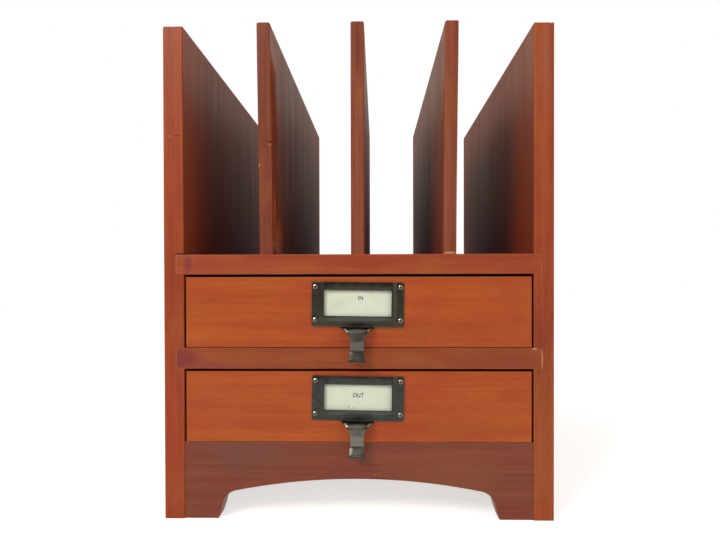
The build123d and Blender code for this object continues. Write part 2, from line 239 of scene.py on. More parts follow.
ambient = add(tree, "ShaderNodeBackground", Color=linear("#FFFCF8"), Strength=0.40)
mirrored = add(tree, "ShaderNodeBackground", Color=room, Strength=1.0)
white = add(tree, "ShaderNodeBackground", Color=linear("#FFFFFF"), Strength=1.0)
path = add(tree, "ShaderNodeLightPath").outputs
glossy = add(
    tree, "ShaderNodeMixShader",
    _0=path["Is Glossy Ray"], _1=ambient.outputs[0], _2=mirrored.outputs[0],
)
direct = maths(tree, "MAXIMUM", path["Is Camera Ray"], path["Is Transmission Ray"])
mixed = add(
    tree, "ShaderNodeMixShader", _0=direct, _1=glossy.outputs[0], _2=white.outputs[0]
)
add(tree, "ShaderNodeOutputWorld", Surface=mixed.outputs[0])
print("world nodes:", len(tree.nodes))


# %% The lamps
LAMP_AIM = Vector((0.0, -0.1, 0.18))


def soft_lamp(name, place, width, watts, colour):
    """A square area lamp that looks at the drawers."""
    data = bpy.data.lights.new(name, "AREA")
    data.size = width
    data.energy = watts
    data.color = linear(colour)[:3]
    data.specular_factor = 0.3
    lamp = bpy.data.objects.new(name, data)
    bpy.context.scene.collection.objects.link(lamp)
    lamp.location = place
    lamp.rotation_euler = (LAMP_AIM - Vector(place)).to_track_quat("-Z", "Y").to_euler()


soft_lamp("key_upper_left", (-0.75, -1.15, 1.05), 0.55, 11.5, "#FFFAF2")
soft_lamp("fill_right", (1.1, -1.0, 0.55), 0.9, 4.5, "#FFF8F0")

# %% [markdown]
# ## The floor
#
# A plain pale sheet carries the sorter and its shadow. Its own colour is nearly white, and camera
# and glossy rays get a little extra, so that it meets the white world without a line.

# %% The floor
FLOOR_GLOW = 0.64
bpy.ops.mesh.primitive_plane_add(size=6.0, location=(0.0, 0.0, 0.0))
floor = bpy.context.object
floor.name = "floor"
material, tree, _ = fresh_material("white_paper_floor")
plain = add(tree, "ShaderNodeBsdfDiffuse", Color=linear("#F4F4F4"))
path = add(tree, "ShaderNodeLightPath").outputs
direct = maths(tree, "MAXIMUM", path["Is Camera Ray"], path["Is Glossy Ray"])
extra = maths(tree, "MULTIPLY", direct, FLOOR_GLOW)
glow = add(tree, "ShaderNodeEmission", Color=linear("#FFFFFF"), Strength=extra)
both = add(tree, "ShaderNodeAddShader", _0=plain.outputs[0], _1=glow.outputs[0])
add(tree, "ShaderNodeOutputMaterial", Surface=both.outputs[0])
floor.data.materials.append(material)
print("floor is", floor.dimensions[0], "m wide")

# %% [markdown]
# ## Stained wood
#
# The boards are a fine, even hardwood, stained red brown and sealed with a satin varnish. Three
# things make wood read as wood: long fibres that are much finer across than along, slow bands of
# darker stain, and short dark pores. Each is the same noise, stretched along the board's length by
# a Mapping node. Where the corners are rubbed, the stain is thin and the wood shows lighter: the
# Bevel node finds those corners, because it returns a rounded normal near an edge.


# %% The stained wood material
def masked(tree, at, colour, marks):
    """Lays small marks over a colour.

    A mark is its middle and its half sizes in mm, its hex colour, the softness of its rim and its
    share.
    """
    for middle, halves, code, softness, share in marks:
        off = add(
            tree, "ShaderNodeVectorMath", {"operation": "SUBTRACT"},
            _0=at, _1=[v * MM for v in middle],
        )
        scaled = add(
            tree, "ShaderNodeVectorMath", {"operation": "DIVIDE"},
            _0=off.outputs[0], _1=[v * MM for v in halves],
        )
        far = add(tree, "ShaderNodeVectorMath", {"operation": "LENGTH"}, _0=scaled.outputs[0])
        inside = spread(tree, far.outputs["Value"], 1.0 - softness, 1.0, share, 0.0, smooth=True)
        colour = blended(tree, inside, colour, linear(code))
    return colour


FRONT_EDGE = -152 * MM


def stained_wood(
    name, along, dark, mid, light, seed, marks=(), fibre=1.6, specular=0.3,
    clouds_red="#9A3A24", clouds_gold="#A8622A", rub="#C9824F", painted_side_shade=None, painted_front_light=(0.55, -70),
):
    """Stained and varnished hardwood whose fibres run along X, Y or Z and are `fibre` mm wide.

    With a side shade colour, the faces that look along X are darkened by it, which is painted
    shade. A redder band of painted light runs down them behind the front edge, and the front light
    pair gives its share and the y in mm where it ends.
    """
    material, tree, here = fresh_material(name)

    def grain(across, length, shift, **looks):
        place = (seed * 3.7 + shift, seed * 1.9, seed * 5.3)
        return noise(tree, stretched(tree, here, place, across, {along: length}), **looks)

    fibres = grain(fibre, 70.0, 0.0, roughness=0.6)
    bands = grain(9.0, 230.0, 4.0, roughness=0.55, distortion=0.5)
    clouds = grain(38.0, 75.0, 9.0, detail=2.0)
    tone = 0.0
    for part, share in ((fibres, 0.34), (bands, 0.42), (clouds, 0.24)):
        tone = maths(tree, "MULTIPLY_ADD", part, share, tone)
    colour = tinted(tree, tone, (0.0, dark), (0.32, dark), (0.5, mid), (0.68, light), (1.0, light))
    for shift, tint, share in ((13.0, clouds_red, 0.42), (17.0, clouds_gold, 0.34)):
        patches = grain(15.0, 42.0, shift, roughness=0.55)
        amount = spread(tree, patches, 0.46, 0.68, 0.0, share, smooth=True)
        colour = blended(tree, amount, colour, linear(tint))
    # Painted shade: the faces that look along X are darkened by a colour. Behind their front edge,
    # a redder band of painted light runs down them.
    if painted_side_shade:
        on_face = faces_along(tree, "X", 0.75, 0.95, 0.0, 1.0)
        colour = blended(tree, on_face, colour, linear(painted_side_shade), "MULTIPLY")
        share, front_light_end = painted_front_light
        depth = add(tree, "ShaderNodeSeparateXYZ", Vector=here).outputs["Y"]
        near_front = spread(tree, depth, FRONT_EDGE, front_light_end * MM, share, 0.0, smooth=True)
        amount = maths(tree, "MULTIPLY", near_front, on_face)
        colour = blended(tree, amount, colour, linear("#964628"))
    open_pores = spread(tree, grain(0.55, 6.5, 2.0, detail=1.0), 0.6, 0.7, 0.0, 0.18)
    colour = blended(tree, open_pores, colour, linear("#6A3A2A"), "MULTIPLY")
    colour = masked(tree, here, colour, marks)
    patchy = spread(tree, grain(5.0, 16.0, 7.0, roughness=0.6), 0.38, 0.62, 0.15, 1.0)
    worn = maths(tree, "MULTIPLY", corner_wear(tree, 0.9, 0.995, 0.90, 0.6), patchy)
    colour = blended(tree, worn, colour, linear(rub))
    relief = maths(tree, "MULTIPLY_ADD", open_pores, -0.8, fibres)
    coat(
        tree, Base_Color=colour, Roughness=spread(tree, bands, 0.3, 0.7, 0.37, 0.49), IOR=1.5,
        Specular_IOR_Level=specular, Normal=bumped(tree, relief, 0.25, 0.08),
    )
    return material


def dress(material, *names):
    """Gives these CAD boards the material."""
    for name in names:
        node = nodes[name]
        if not node.data.materials:
            node.data.materials.append(material)
        for slot in node.material_slots:
            slot.material = material


print("stained wood is ready")

# %% [markdown]
# ## The case boards
#
# Side panels and dividers stand with the grain upright, while deck, shelf, apron and drawer fronts
# have it running across. Each board gets its own seed, so that no two show the same figure. The
# marks are the small dents, stains and rubbed spots that the photograph shows on its front, and
# among them some painted light: painted shade in an open joint and in a nick, a painted highlight
# on the nick, and the painted shadows of the pulls' tabs.

# %% The case boards
# Both looks carry painted light: the side shade colour is painted shade on the faces that look
# along X, and the front band behind their front edge is painted light.
SIDE_LOOKS = {"painted_side_shade": "#DCC0B0", "specular": 0.22}
DIVIDER_LOOKS = {
    "clouds_red": "#84382E", "clouds_gold": "#96582F", "painted_side_shade": "#F0D4C0",
    "specular": 0.2, "painted_front_light": (0.4, -115),
}
dress(
    stained_wood(
        "stained_wood_left_side", "Z", "#7B2E16", "#9C4321", "#AC502A", 1.0, **SIDE_LOOKS,
        marks=[
            ((-131.7, -154.2, 276.3), (5.4, 9, 0.75), "#5C2417", 0.6, 0.9),
            ((-134.5, -154.2, 276.0), (4.0, 9, 1.6), "#B4653C", 0.8, 0.5),
            # Painted shade: a black line on the front edge where the deck's housing stands open.
            ((-127.0, -154.2, 191.2), (6.0, 6, 0.7), "#120806", 0.3, 1.0),
            ((-125.5, -129.4, 195.2), (6, 7.0, 1.6), "#8A6A50", 0.7, 0.8),
            ((-133.0, -154.2, 60.0), (8, 9, 60), "#A63E22", 0.9, 0.5),
        ],
    ),
    "left_side_panel",
)
dress(
    stained_wood(
        "stained_wood_right_side", "Z", "#7E3017", "#9C4525", "#AC532D", 2.0, **SIDE_LOOKS,
        marks=[
            ((137.6, -154.2, 355.0), (2.2, 4, 1.0), "#E6D8C4", 0.5, 0.9),
            ((131.5, -154.2, 115.5), (0.8, 9, 9.5), "#C58A5A", 0.6, 0.7),
            ((134.0, -154.2, 330.0), (5.0, 9, 50), "#9A5A46", 0.9, 0.6),
        ],
    ),
    "right_side_panel",
)
DIVIDER_MARKS = {
    1: [
        # Painted shade above the nick and a painted highlight on it; the nick itself is cut further
        # below.
        ((-63.0, -154.2, 271.6), (2.6, 5, 0.8), "#2A1410", 0.6, 0.8),
        ((-63.4, -154.2, 269.8), (2.0, 5, 1.2), "#A06C52", 0.7, 0.8),
        ((-70.8, -154.2, 255.0), (1.3, 5, 1.8), "#C8824C", 0.6, 0.9),
        ((-60.8, -128.0, 201.0), (4, 21, 24), "#B05A38", 0.7, 1.0),
        ((-60.8, -144.5, 228.0), (4, 2.6, 32), "#C8683C", 0.8, 0.9),
    ],
    2: [((0.4, -154.2, 340.0), (2.6, 6, 32), "#6A2C2A", 0.8, 0.7)],
    3: [((65.6, -154.2, 191.7), (5.6, 6, 1.0), "#BC8E5E", 0.5, 0.85)],
}
for number, seed in ((1, 3.0), (2, 4.0), (3, 5.0)):
    dress(
        stained_wood(
            f"stained_wood_divider_{number}", "Z", "#622B1C", "#85432D", "#9A573A", seed,
            marks=DIVIDER_MARKS[number], **DIVIDER_LOOKS,
        ),
        f"slot_divider_{number}",
    )
dress(
    stained_wood(
        "stained_wood_deck", "X", "#893518", "#9F4423", "#B1532A", 6.0,
        marks=[((-122.6, -154.2, 184.0), (4.5, 6, 9.0), "#7A2C34", 0.8, 0.75)],
    ),
    "sorter_deck",
)
dress(
    stained_wood(
        "stained_wood_shelf", "X", "#7C3113", "#94441C", "#A44E20", 7.0,
        clouds_red="#8E3626", clouds_gold="#9C5C28",
        marks=[
            ((-128.0, -154.2, 115.5), (22, 8, 12), "#7E2E2C", 0.8, 0.9),
            ((-104.0, -154.2, 110.5), (26, 8, 6), "#843430", 0.9, 0.6),
            ((126.0, -154.2, 122.9), (2.2, 4, 0.9), "#C89A70", 0.5, 0.8),
            ((95.0, -154.2, 115.5), (55, 8, 14), "#843A24", 0.9, 0.55),
            # Painted shadow of the upper pull's tab.
            ((-0.5, -154.2, 110.8), (8, 8, 2.2), "#5E2A18", 0.9, 0.5),
        ],
    ),
    "middle_shelf",
)
dress(
    stained_wood(
        "stained_wood_apron", "X", "#6D301F", "#7F3F2B", "#904B36", 8.0,
        clouds_red="#84372B", clouds_gold="#764430",
        marks=[
            ((70.0, -153.2, 30.0), (52, 8, 30), "#874A2A", 0.95, 0.65),
            ((-82.0, -153.2, 46.0), (48, 8, 18), "#6C4435", 0.95, 0.6),
            # Painted shadow of the lower pull's tab.
            ((-0.5, -153.2, 42.6), (8, 8, 3.0), "#5E2E28", 0.9, 0.55),
            ((12.3, -153.2, 32.0), (0.5, 4, 0.4), "#C8B4A4", 0.5, 0.8),
            ((15.0, -153.2, 33.4), (0.4, 4, 0.4), "#B8A494", 0.5, 0.7),
        ],
    ),
    "front_apron",
)
for name, seed in (("upper", 9.0), ("lower", 10.0)):
    dress(
        stained_wood(
            f"stained_wood_{name}_drawer_front", "X", "#9A3C12", "#AE4D1A", "#BC5C1E", seed,
            fibre=1.3, clouds_red="#A63C1E", clouds_gold="#AC5C1E", rub="#CF8A50",
        ),
        f"{name}_drawer_front",
    )
print("stained boards:", [m.name for m in bpy.data.materials if m.name.startswith("stained")])

# %% [markdown]
# ## Unstained wood, plywood and zinc
#
# Nobody stains what nobody sees. The drawer sides, the glue blocks and the drawer backs are plain
# planed softwood. The back panel, the bottom panel and the drawer floors are thin plywood, whose
# edges show its plies. The brads and screws are zinc plated steel.


# %% Softwood
def plain_softwood(name, along, seed):
    """Planed, unstained pine: pale, with soft darker growth bands along the board."""
    material, tree, here = fresh_material(name)
    bands_at = stretched(tree, here, (seed, seed * 2, 0), 7.0, {along: 240.0})
    bands = noise(tree, bands_at, distortion=0.6)
    fibres = noise(tree, stretched(tree, here, (0, seed, seed), 0.8, {along: 30.0}), detail=2.0)
    tone = maths(tree, "MULTIPLY_ADD", bands, 0.7, maths(tree, "MULTIPLY", fibres, 0.3))
    wood = tinted(
        tree, tone, (0.0, "#B08A5A"), (0.4, "#C29D6C"), (0.58, "#D8BB8C"), (1.0, "#E2CBA2")
    )
    coat(tree, Base_Color=wood, Roughness=0.62, IOR=1.5, Normal=bumped(tree, fibres, 0.3, 0.08))
    return material


dress(plain_softwood("planed_softwood_glue_blocks", "Z", 1.0), "apron_glue_blocks")
for name, seed in (("upper", 2.0), ("lower", 5.0)):
    dress(
        plain_softwood(f"planed_softwood_{name}_sides", "Y", seed),
        f"{name}_drawer_left_side", f"{name}_drawer_right_side",
    )
    dress(plain_softwood(f"planed_softwood_{name}_back", "X", seed + 1), f"{name}_drawer_back")
print("plain boards dressed")


# %% Plywood
def plywood(name, along, through, thickness, seed):
    """Sanded plywood. Its three plies lie across its thickness in mm, along the through axis."""
    material, tree, here = fresh_material(name)
    face_at = stretched(tree, here, (seed, seed * 3, seed), 11.0, {along: 160.0, through: 40.0})
    face = noise(tree, face_at, detail=4.0, roughness=0.55, distortion=0.8)
    wood = tinted(
        tree, face, (0.0, "#BC8654"), (0.4, "#CE9D6C"), (0.6, "#DCB486"), (1.0, "#E6C49C")
    )
    board = thickness * MM
    depth = add(tree, "ShaderNodeSeparateXYZ", Vector=here).outputs[through]
    plies = maths(tree, "PINGPONG", depth, board / 3)
    dark_ply = spread(tree, plies, board / 6.5, board / 5.5, 0.0, 1.0)
    on_edge = faces_along(tree, through, 0.4, 0.6, 0.55, 0.0)
    colour = blended(tree, maths(tree, "MULTIPLY", dark_ply, on_edge), wood, linear("#7A5632"))
    coat(tree, Base_Color=colour, Roughness=0.58, IOR=1.5, Normal=bumped(tree, face, 0.2, 0.06))
    return material


dress(plywood("plywood_back_panel", "Z", "Y", 5.0, 1.0), "back_panel")
dress(plywood("plywood_bottom_panel", "X", "Z", 9.0, 2.0), "bottom_panel")
dress(
    plywood("plywood_drawer_floors", "Y", "Z", 4.0, 3.0), "upper_drawer_floor", "lower_drawer_floor"
)
print("plywood dressed")

# %% Zinc plated steel
material, tree, here = fresh_material("zinc_plated_steel")
spangle = noise(tree, here, scale=1400.0, detail=2.0)
zinc = tinted(tree, spangle, (0.0, "#9A9C98"), (1.0, "#C6C7C2"))
coat(tree, Base_Color=zinc, Metallic=1.0, Roughness=0.34)
dress(material, "divider_screws", "back_panel_brads", "upper_drawer_brads", "lower_drawer_brads")
print("fasteners dressed")

# %% [markdown]
# ## Modelling helpers
#
# The pieces below are modelled with the same few moves: pick by place, cut by a plane, apply the
# modifiers, copy a finished model to its place, and round the corners of a line.

# %% Modelling helpers
NEAR = 0.01 * MM  # how far off a point may be when it is picked by its place


def pick(kind, test):
    """In edit mode, selects the vertices, edges or faces whose middle passes the test."""
    bpy.ops.mesh.select_mode(type=kind)
    bpy.ops.mesh.select_all(action="DESELECT")
    mesh = bpy.context.edit_object.data
    shape = bmesh.from_edit_mesh(mesh)
    found = {"VERT": shape.verts, "EDGE": shape.edges, "FACE": shape.faces}[kind]
    count = 0
    for item in found:
        points = [item.co] if kind == "VERT" else [v.co for v in item.verts]
        if test(sum(points, Vector()) / len(points)):
            item.select_set(True)
            count += 1
    bmesh.update_edit_mesh(mesh)
    return count


def cut(axis, value):
    """In edit mode, cuts the whole mesh by the plane at this value of x, y or z."""
    bpy.ops.mesh.select_all(action="SELECT")
    place, normal = [0.0] * 3, [0.0] * 3
    place["xyz".index(axis)], normal["xyz".index(axis)] = value, 1.0
    bpy.ops.mesh.bisect(plane_co=place, plane_no=normal)


def apply_all(piece):
    """Applies a piece's modifiers in their order."""
    bpy.ops.object.select_all(action="DESELECT")
    piece.select_set(True)
    bpy.context.view_layer.objects.active = piece
    for modifier in list(piece.modifiers):
        bpy.ops.object.modifier_apply(modifier=modifier.name)


def copied(model, name, place):
    """A copy of a model with its own mesh, moved in its mesh by the matrix."""
    piece = model.copy()
    piece.data = model.data.copy()
    piece.name = piece.data.name = name
    piece.data.transform(place)
    bpy.context.scene.collection.objects.link(piece)
    return piece


def rounded_path(points, radii, steps=6):
    """A polyline of (reach, drop) points with its inner corners rounded."""
    path = [Vector(points[0])]
    for before, at, after, radius in zip(points, points[1:], points[2:], radii):
        run_in, run_out = Vector(at) - Vector(before), Vector(after) - Vector(at)
        half_turn = run_in.angle(run_out) / 2
        back = min(radius * math.tan(half_turn), 0.45 * min(run_in.length, run_out.length))
        start = Vector(at) - run_in.normalized() * back
        end = Vector(at) + run_out.normalized() * back
        for step in range(steps + 1):
            t = step / steps
            path.append((1 - t) ** 2 * start + 2 * t * (1 - t) * Vector(at) + t**2 * end)
    path.append(Vector(points[-1]))
    return path


print("modelling helpers are ready")

# %% [markdown]
# ## The outer dividers
#
# Thin boards that are held only at the foot dry unevenly, and the two outer dividers have leaned
# outwards at their top front corners by a few millimetres. The CAD board is straight, so a copy of
# it is cut into rows and bent in a cage, a Lattice, whose front points are moved. The left one also
# has a nick in its front edge, cut by a small block with a Boolean.

# %% The outer dividers
LEANS = ((0, 0.5), (1, 1.3), (2, 2.7))  # a row of the cage from the foot up, and mm outwards
ROWS, FOOT_Z, FRONT_Y, ROW_HEIGHT, ROW_DEPTH = 12, 185, -154, 14.4, 26.5
for name, way in (("slot_divider_1", -1.0), ("slot_divider_3", 1.0)):
    board = copied(nodes[name], name + "_board", Matrix())
    bpy.ops.object.select_all(action="DESELECT")
    board.select_set(True)
    bpy.context.view_layer.objects.active = board
    bpy.ops.object.mode_set(mode="EDIT")
    bpy.ops.mesh.select_all(action="SELECT")
    bpy.ops.mesh.remove_doubles(threshold=0.001 * MM)
    bpy.ops.mesh.dissolve_limited(angle_limit=math.radians(0.5))
    for step in range(1, ROWS):
        cut("z", (FOOT_Z + ROW_HEIGHT * step) * MM)
        cut("y", (FRONT_Y + ROW_DEPTH * step) * MM)
    bpy.ops.object.mode_set(mode="OBJECT")
    low, high = (Vector(corner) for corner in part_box(name))
    bpy.ops.object.add(type="LATTICE", location=(low + high) / 2)
    cage = bpy.context.object
    cage.scale = high - low
    cage.data.points_u, cage.data.points_v, cage.data.points_w = 2, 2, 3
    cage.data.interpolation_type_v = "KEY_LINEAR"
    for row, shift in LEANS:
        for side in (0, 1):  # the front pair of the row's four points
            cage.data.points[side + 4 * row].co_deform.x += way * shift * MM / cage.scale.x
    bend = board.modifiers.new("bend", "LATTICE")
    bend.object = cage
    block = None
    if name == "slot_divider_1":
        bpy.ops.mesh.primitive_cube_add(
            size=1.0, location=(-62.0 * MM, -154.6 * MM, 270.6 * MM), rotation=(0.5, 0.15, 0.3)
        )
        block = bpy.context.object
        block.scale = (4.6 * MM, 2.0 * MM, 2.6 * MM)
        nick = board.modifiers.new("nick", "BOOLEAN")
        nick.object, nick.operation, nick.solver = block, "DIFFERENCE", "EXACT"
    apply_all(board)
    for helper in filter(None, (cage, block)):
        bpy.data.objects.remove(helper)
    bpy.ops.object.shade_smooth_by_angle(angle=math.radians(30))
    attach(board, "case")
    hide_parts(name)
    print(board.name, "top front corner moved by", way * LEANS[-1][1], "mm")

# %% [markdown]
# ## The card-frame pull
#
# Each pull is one stamped sheet of steel, 1 mm thick: a flat flange with four screws, a raised
# frame round the window, and a finger tab bent out of the lower edge. A sheet is best modelled as
# its middle surface. A plane is cut by bisects where the stamping folds, the frame is lifted, the
# tab is extruded from the lower edge one station at a time, and Solidify gives it all one
# thickness. Here the pull is made once, with its lower edge at z = 0 and the drawer face at y = 0.

# %% The plate and its raised frame
PLATE_WIDTH, PLATE_HEIGHT, SHEET = 66.2 * MM, 32.1 * MM, 1.0 * MM
FOOT_HALF, SIDE_SLOPE = PLATE_WIDTH / 2 - 5.1 * MM, 2.9 * MM
BOTTOM_FLANGE, BOTTOM_SLOPE, FRAME_RAISE = 3.3 * MM, 3.4 * MM, 1.4 * MM
WINDOW_HALF, WINDOW_LOW, WINDOW_HIGH = 24.1 * MM, 7.7 * MM, 26.0 * MM
ROOT, NECK = 10.6, 4.75  # the tab's fillets at its root and its half width below them, in mm
SEAM = 7.0 * MM  # one more cut between them, so that the fold under the frame stays even
bpy.ops.mesh.primitive_plane_add(
    size=1.0, location=(0, -SHEET / 2, PLATE_HEIGHT / 2), rotation=(math.radians(90), 0, 0)
)
pull = bpy.context.object
pull.name = "pull_model"
pull.scale = (PLATE_WIDTH, PLATE_HEIGHT, 1.0)
bpy.ops.object.transform_apply(location=True, rotation=True, scale=True)
bpy.ops.object.mode_set(mode="EDIT")
for x in (FOOT_HALF, FOOT_HALF - SIDE_SLOPE, WINDOW_HALF, (NECK + ROOT) * MM, SEAM):
    cut("x", x)
    cut("x", -x)
for z in (BOTTOM_FLANGE, BOTTOM_FLANGE + BOTTOM_SLOPE, WINDOW_LOW, WINDOW_HIGH):
    cut("z", z)
pick("FACE", lambda c: abs(c.x) < WINDOW_HALF and WINDOW_LOW < c.z < WINDOW_HIGH)
bpy.ops.mesh.delete(type="FACE")
lifted = pick(
    "VERT",
    lambda c: abs(c.x) < FOOT_HALF - SIDE_SLOPE + NEAR
    and c.z > BOTTOM_FLANGE + BOTTOM_SLOPE - NEAR,
)
bpy.ops.transform.translate(value=(0, -FRAME_RAISE, 0))
corners = pick(
    "VERT",
    lambda c: abs(c.x) > PLATE_WIDTH / 2 - NEAR and (c.z < NEAR or c.z > PLATE_HEIGHT - NEAR),
)
bpy.ops.mesh.bevel(offset=1.2 * MM, segments=4, affect="VERTICES")
pick(
    "VERT",
    lambda c: abs(abs(c.x) - WINDOW_HALF) < NEAR
    and min(abs(c.z - WINDOW_LOW), abs(c.z - WINDOW_HIGH)) < NEAR,
)
bpy.ops.mesh.bevel(offset=0.5 * MM, segments=3, affect="VERTICES")
print("frame vertices lifted:", lifted, "corners rounded:", corners)
print("window is", round(2 * WINDOW_HALF / MM, 1), "mm wide")

# %% [markdown]
# The tab leaves the lower edge through two wide fillets, turns out to a shoulder, hangs down with
# a slight belly and flicks out again at the tip. Each station is an extrude, a move and a resize.

# %% The finger tab
FLARE_AT, END = 22.3, 24.3  # how far below the plate the tip flares and ends, in mm
FLARE_HALF, FLARE_OUT, WAIST, STATION = 5.3, 1.3, 0.3, 0.5
bends = rounded_path(
    [(0.5, 0.0), (0.5, 0.45), (6.7, 2.1), (8.2, 11.0), (6.0, 16.8), (9.6, FLARE_AT), (9.6, END)],
    [0.5, 4.4, 8.0, 5.0, 2.0],
)


def half_width(drop):
    """The tab's half width in mm at this drop below the plate."""
    if drop < ROOT:
        return NECK + ROOT - math.sqrt(ROOT**2 - (ROOT - drop) ** 2)
    if drop < FLARE_AT:
        t = (drop - ROOT) / (FLARE_AT - ROOT)
        return NECK * (1 - t) + FLARE_HALF * t - 4 * WAIST * t * (1 - t)
    return FLARE_HALF + (drop - FLARE_AT) / (END - FLARE_AT) * FLARE_OUT


stations = [bends[0]]
for point in bends[1:]:
    count = max(1, math.ceil((point - stations[-1]).length / STATION))
    start = stations[-1]
    stations += [start.lerp(point, (i + 1) / count) for i in range(count)]
pick("EDGE", lambda c: abs(c.x) < (NECK + ROOT) * MM and c.z < NEAR)
for before, after in zip(stations, stations[1:]):
    step = (0, (before.x - after.x) * MM, (before.y - after.y) * MM)
    bpy.ops.mesh.extrude_edges_move(TRANSFORM_OT_translate={"value": step})
    share = half_width(after.y) / half_width(before.y)
    bpy.ops.transform.resize(value=(share, 1, 1), center_override=(0, 0, 0))
bpy.ops.mesh.select_all(action="SELECT")
bpy.ops.mesh.remove_doubles(threshold=0.005 * MM)
bpy.ops.mesh.normals_make_consistent(inside=False)
bpy.ops.object.mode_set(mode="OBJECT")
print("tab stations:", len(stations), "vertices:", len(pull.data.vertices))

# %% Folds, thickness and edges
if sum(p.normal.y * p.area for p in pull.data.polygons) > 0:
    pull.data.flip_normals()
fold = pull.modifiers.new("fold_radius", "BEVEL")
fold.width, fold.segments = 0.45 * MM, 3
fold.limit_method, fold.angle_limit = "ANGLE", math.radians(18)
wall = pull.modifiers.new("sheet", "SOLIDIFY")
wall.thickness, wall.offset, wall.use_even_offset = SHEET, 0.0, True
rim = pull.modifiers.new("rim", "BEVEL")
rim.width, rim.segments = 0.2 * MM, 2
rim.limit_method, rim.angle_limit = "ANGLE", math.radians(50)
apply_all(pull)
bpy.ops.object.shade_smooth_by_angle(angle=math.radians(35))
print("pull box in mm:", [round(v / MM, 2) for v in pull.dimensions])

# %% [markdown]
# ## The screws
#
# A round-head wood screw: a domed head on the flange, with a cross recess. Only the head shows. It
# starts as a disc, and each step up is an extrude and a resize along a circle's arc. The recess is
# cut by two crossed bars with a Boolean.

# %% One domed screw head
HEAD, DOME = 1.95 * MM, 1.25 * MM
bpy.ops.mesh.primitive_circle_add(
    vertices=32, radius=HEAD, fill_type="NGON", rotation=(math.radians(90), 0, 0)
)
screw = bpy.context.object
screw.name = "screw_model"
bpy.ops.object.transform_apply(location=True, rotation=True, scale=True)
bpy.ops.object.mode_set(mode="EDIT")
bpy.ops.mesh.select_all(action="SELECT")
profile = [(1.0, 0.12), (0.97, 0.3)] + [  # shares of the head's radius and of its height
    (math.cos(a), 0.3 + 0.7 * math.sin(a)) for a in (0.45, 0.75, 1.0, 1.2, 1.36, 1.46)
]
before = (1.0, 0.0)
for radius, height in profile:
    bpy.ops.mesh.extrude_region_move(
        TRANSFORM_OT_translate={"value": (0, -(height - before[1]) * DOME, 0)}
    )
    share = radius / before[0]
    bpy.ops.transform.resize(value=(share, 1, share), center_override=(0, 0, 0))
    before = (radius, height)
bpy.ops.mesh.select_all(action="SELECT")
bpy.ops.mesh.normals_make_consistent(inside=False)
bpy.ops.object.mode_set(mode="OBJECT")
for angle in (0, 90):
    bpy.ops.mesh.primitive_cube_add(size=1.0, location=(0, -DOME, 0))
    bar = bpy.context.object
    bar.scale = (2.1 * MM, 1.3 * MM, 0.6 * MM)
    bar.rotation_euler = (0, math.radians(angle), 0)
    bpy.ops.object.transform_apply(location=True, rotation=True, scale=True)
    recess = screw.modifiers.new("recess", "BOOLEAN")
    recess.object, recess.operation, recess.solver = bar, "DIFFERENCE", "EXACT"
    apply_all(screw)
    bpy.data.objects.remove(bar)
bpy.ops.object.mode_set(mode="EDIT")
bpy.ops.mesh.select_all(action="SELECT")
bpy.ops.mesh.remove_doubles(threshold=0.004 * MM)
bpy.ops.mesh.dissolve_degenerate(threshold=0.004 * MM)
bpy.ops.mesh.normals_make_consistent(inside=False)
bpy.ops.object.mode_set(mode="OBJECT")
bpy.ops.object.shade_smooth_by_angle(angle=math.radians(40))
print("screw head box in mm:", [round(v / MM, 2) for v in screw.dimensions])

# %% [markdown]
# ## Bronzed steel
#
# The pulls are stamped steel with a dark bronze finish. The finish is thin: it is worn through to a
# lighter grey brown on the edges, and it is a little blotchy all over, which shows most in how
# sharply it reflects. The tab is lighter below its shoulder. Marks paint much of the light and
# shade: painted highlights on the shoulder and the screw heads, a painted reflection on the frame's
# lower slope, and painted shade in the creases, at the pinch, under the tip and in the screw
# recesses.


# %% Bronzed steel
def bronzed_steel(name, dark, light, worn, seed, roughness, marks):
    """Dark bronze finish on stamped steel, lighter where it is worn, with marks over it that paint
    much of its light and shade.
    """
    material, tree, here = fresh_material(name)
    blotch_at = stretched(tree, here, (seed, 0, 0), 4.0, {})
    blotches = noise(tree, blotch_at, detail=5.0, roughness=0.62)
    finish = tinted(tree, blotches, (0.0, dark), (0.38, dark), (0.66, light), (1.0, light))
    # The marks paint light and shade onto the finish.
    finish_with_painted_light = masked(tree, here, finish, marks)
    colour = blended(tree, corner_wear(tree, 0.35, 0.99, 0.88, 0.8), finish_with_painted_light, linear(worn))
    gloss = spread(tree, blotches, 0.3, 0.7, roughness - 0.08, roughness + 0.08)
    grit = noise(tree, here, scale=1 / (0.5 * MM), detail=2.0)
    coat(
        tree, Base_Color=colour, Metallic=0.9, Roughness=gloss,
        Normal=bumped(tree, grit, 0.15, 0.03),
    )
    return material


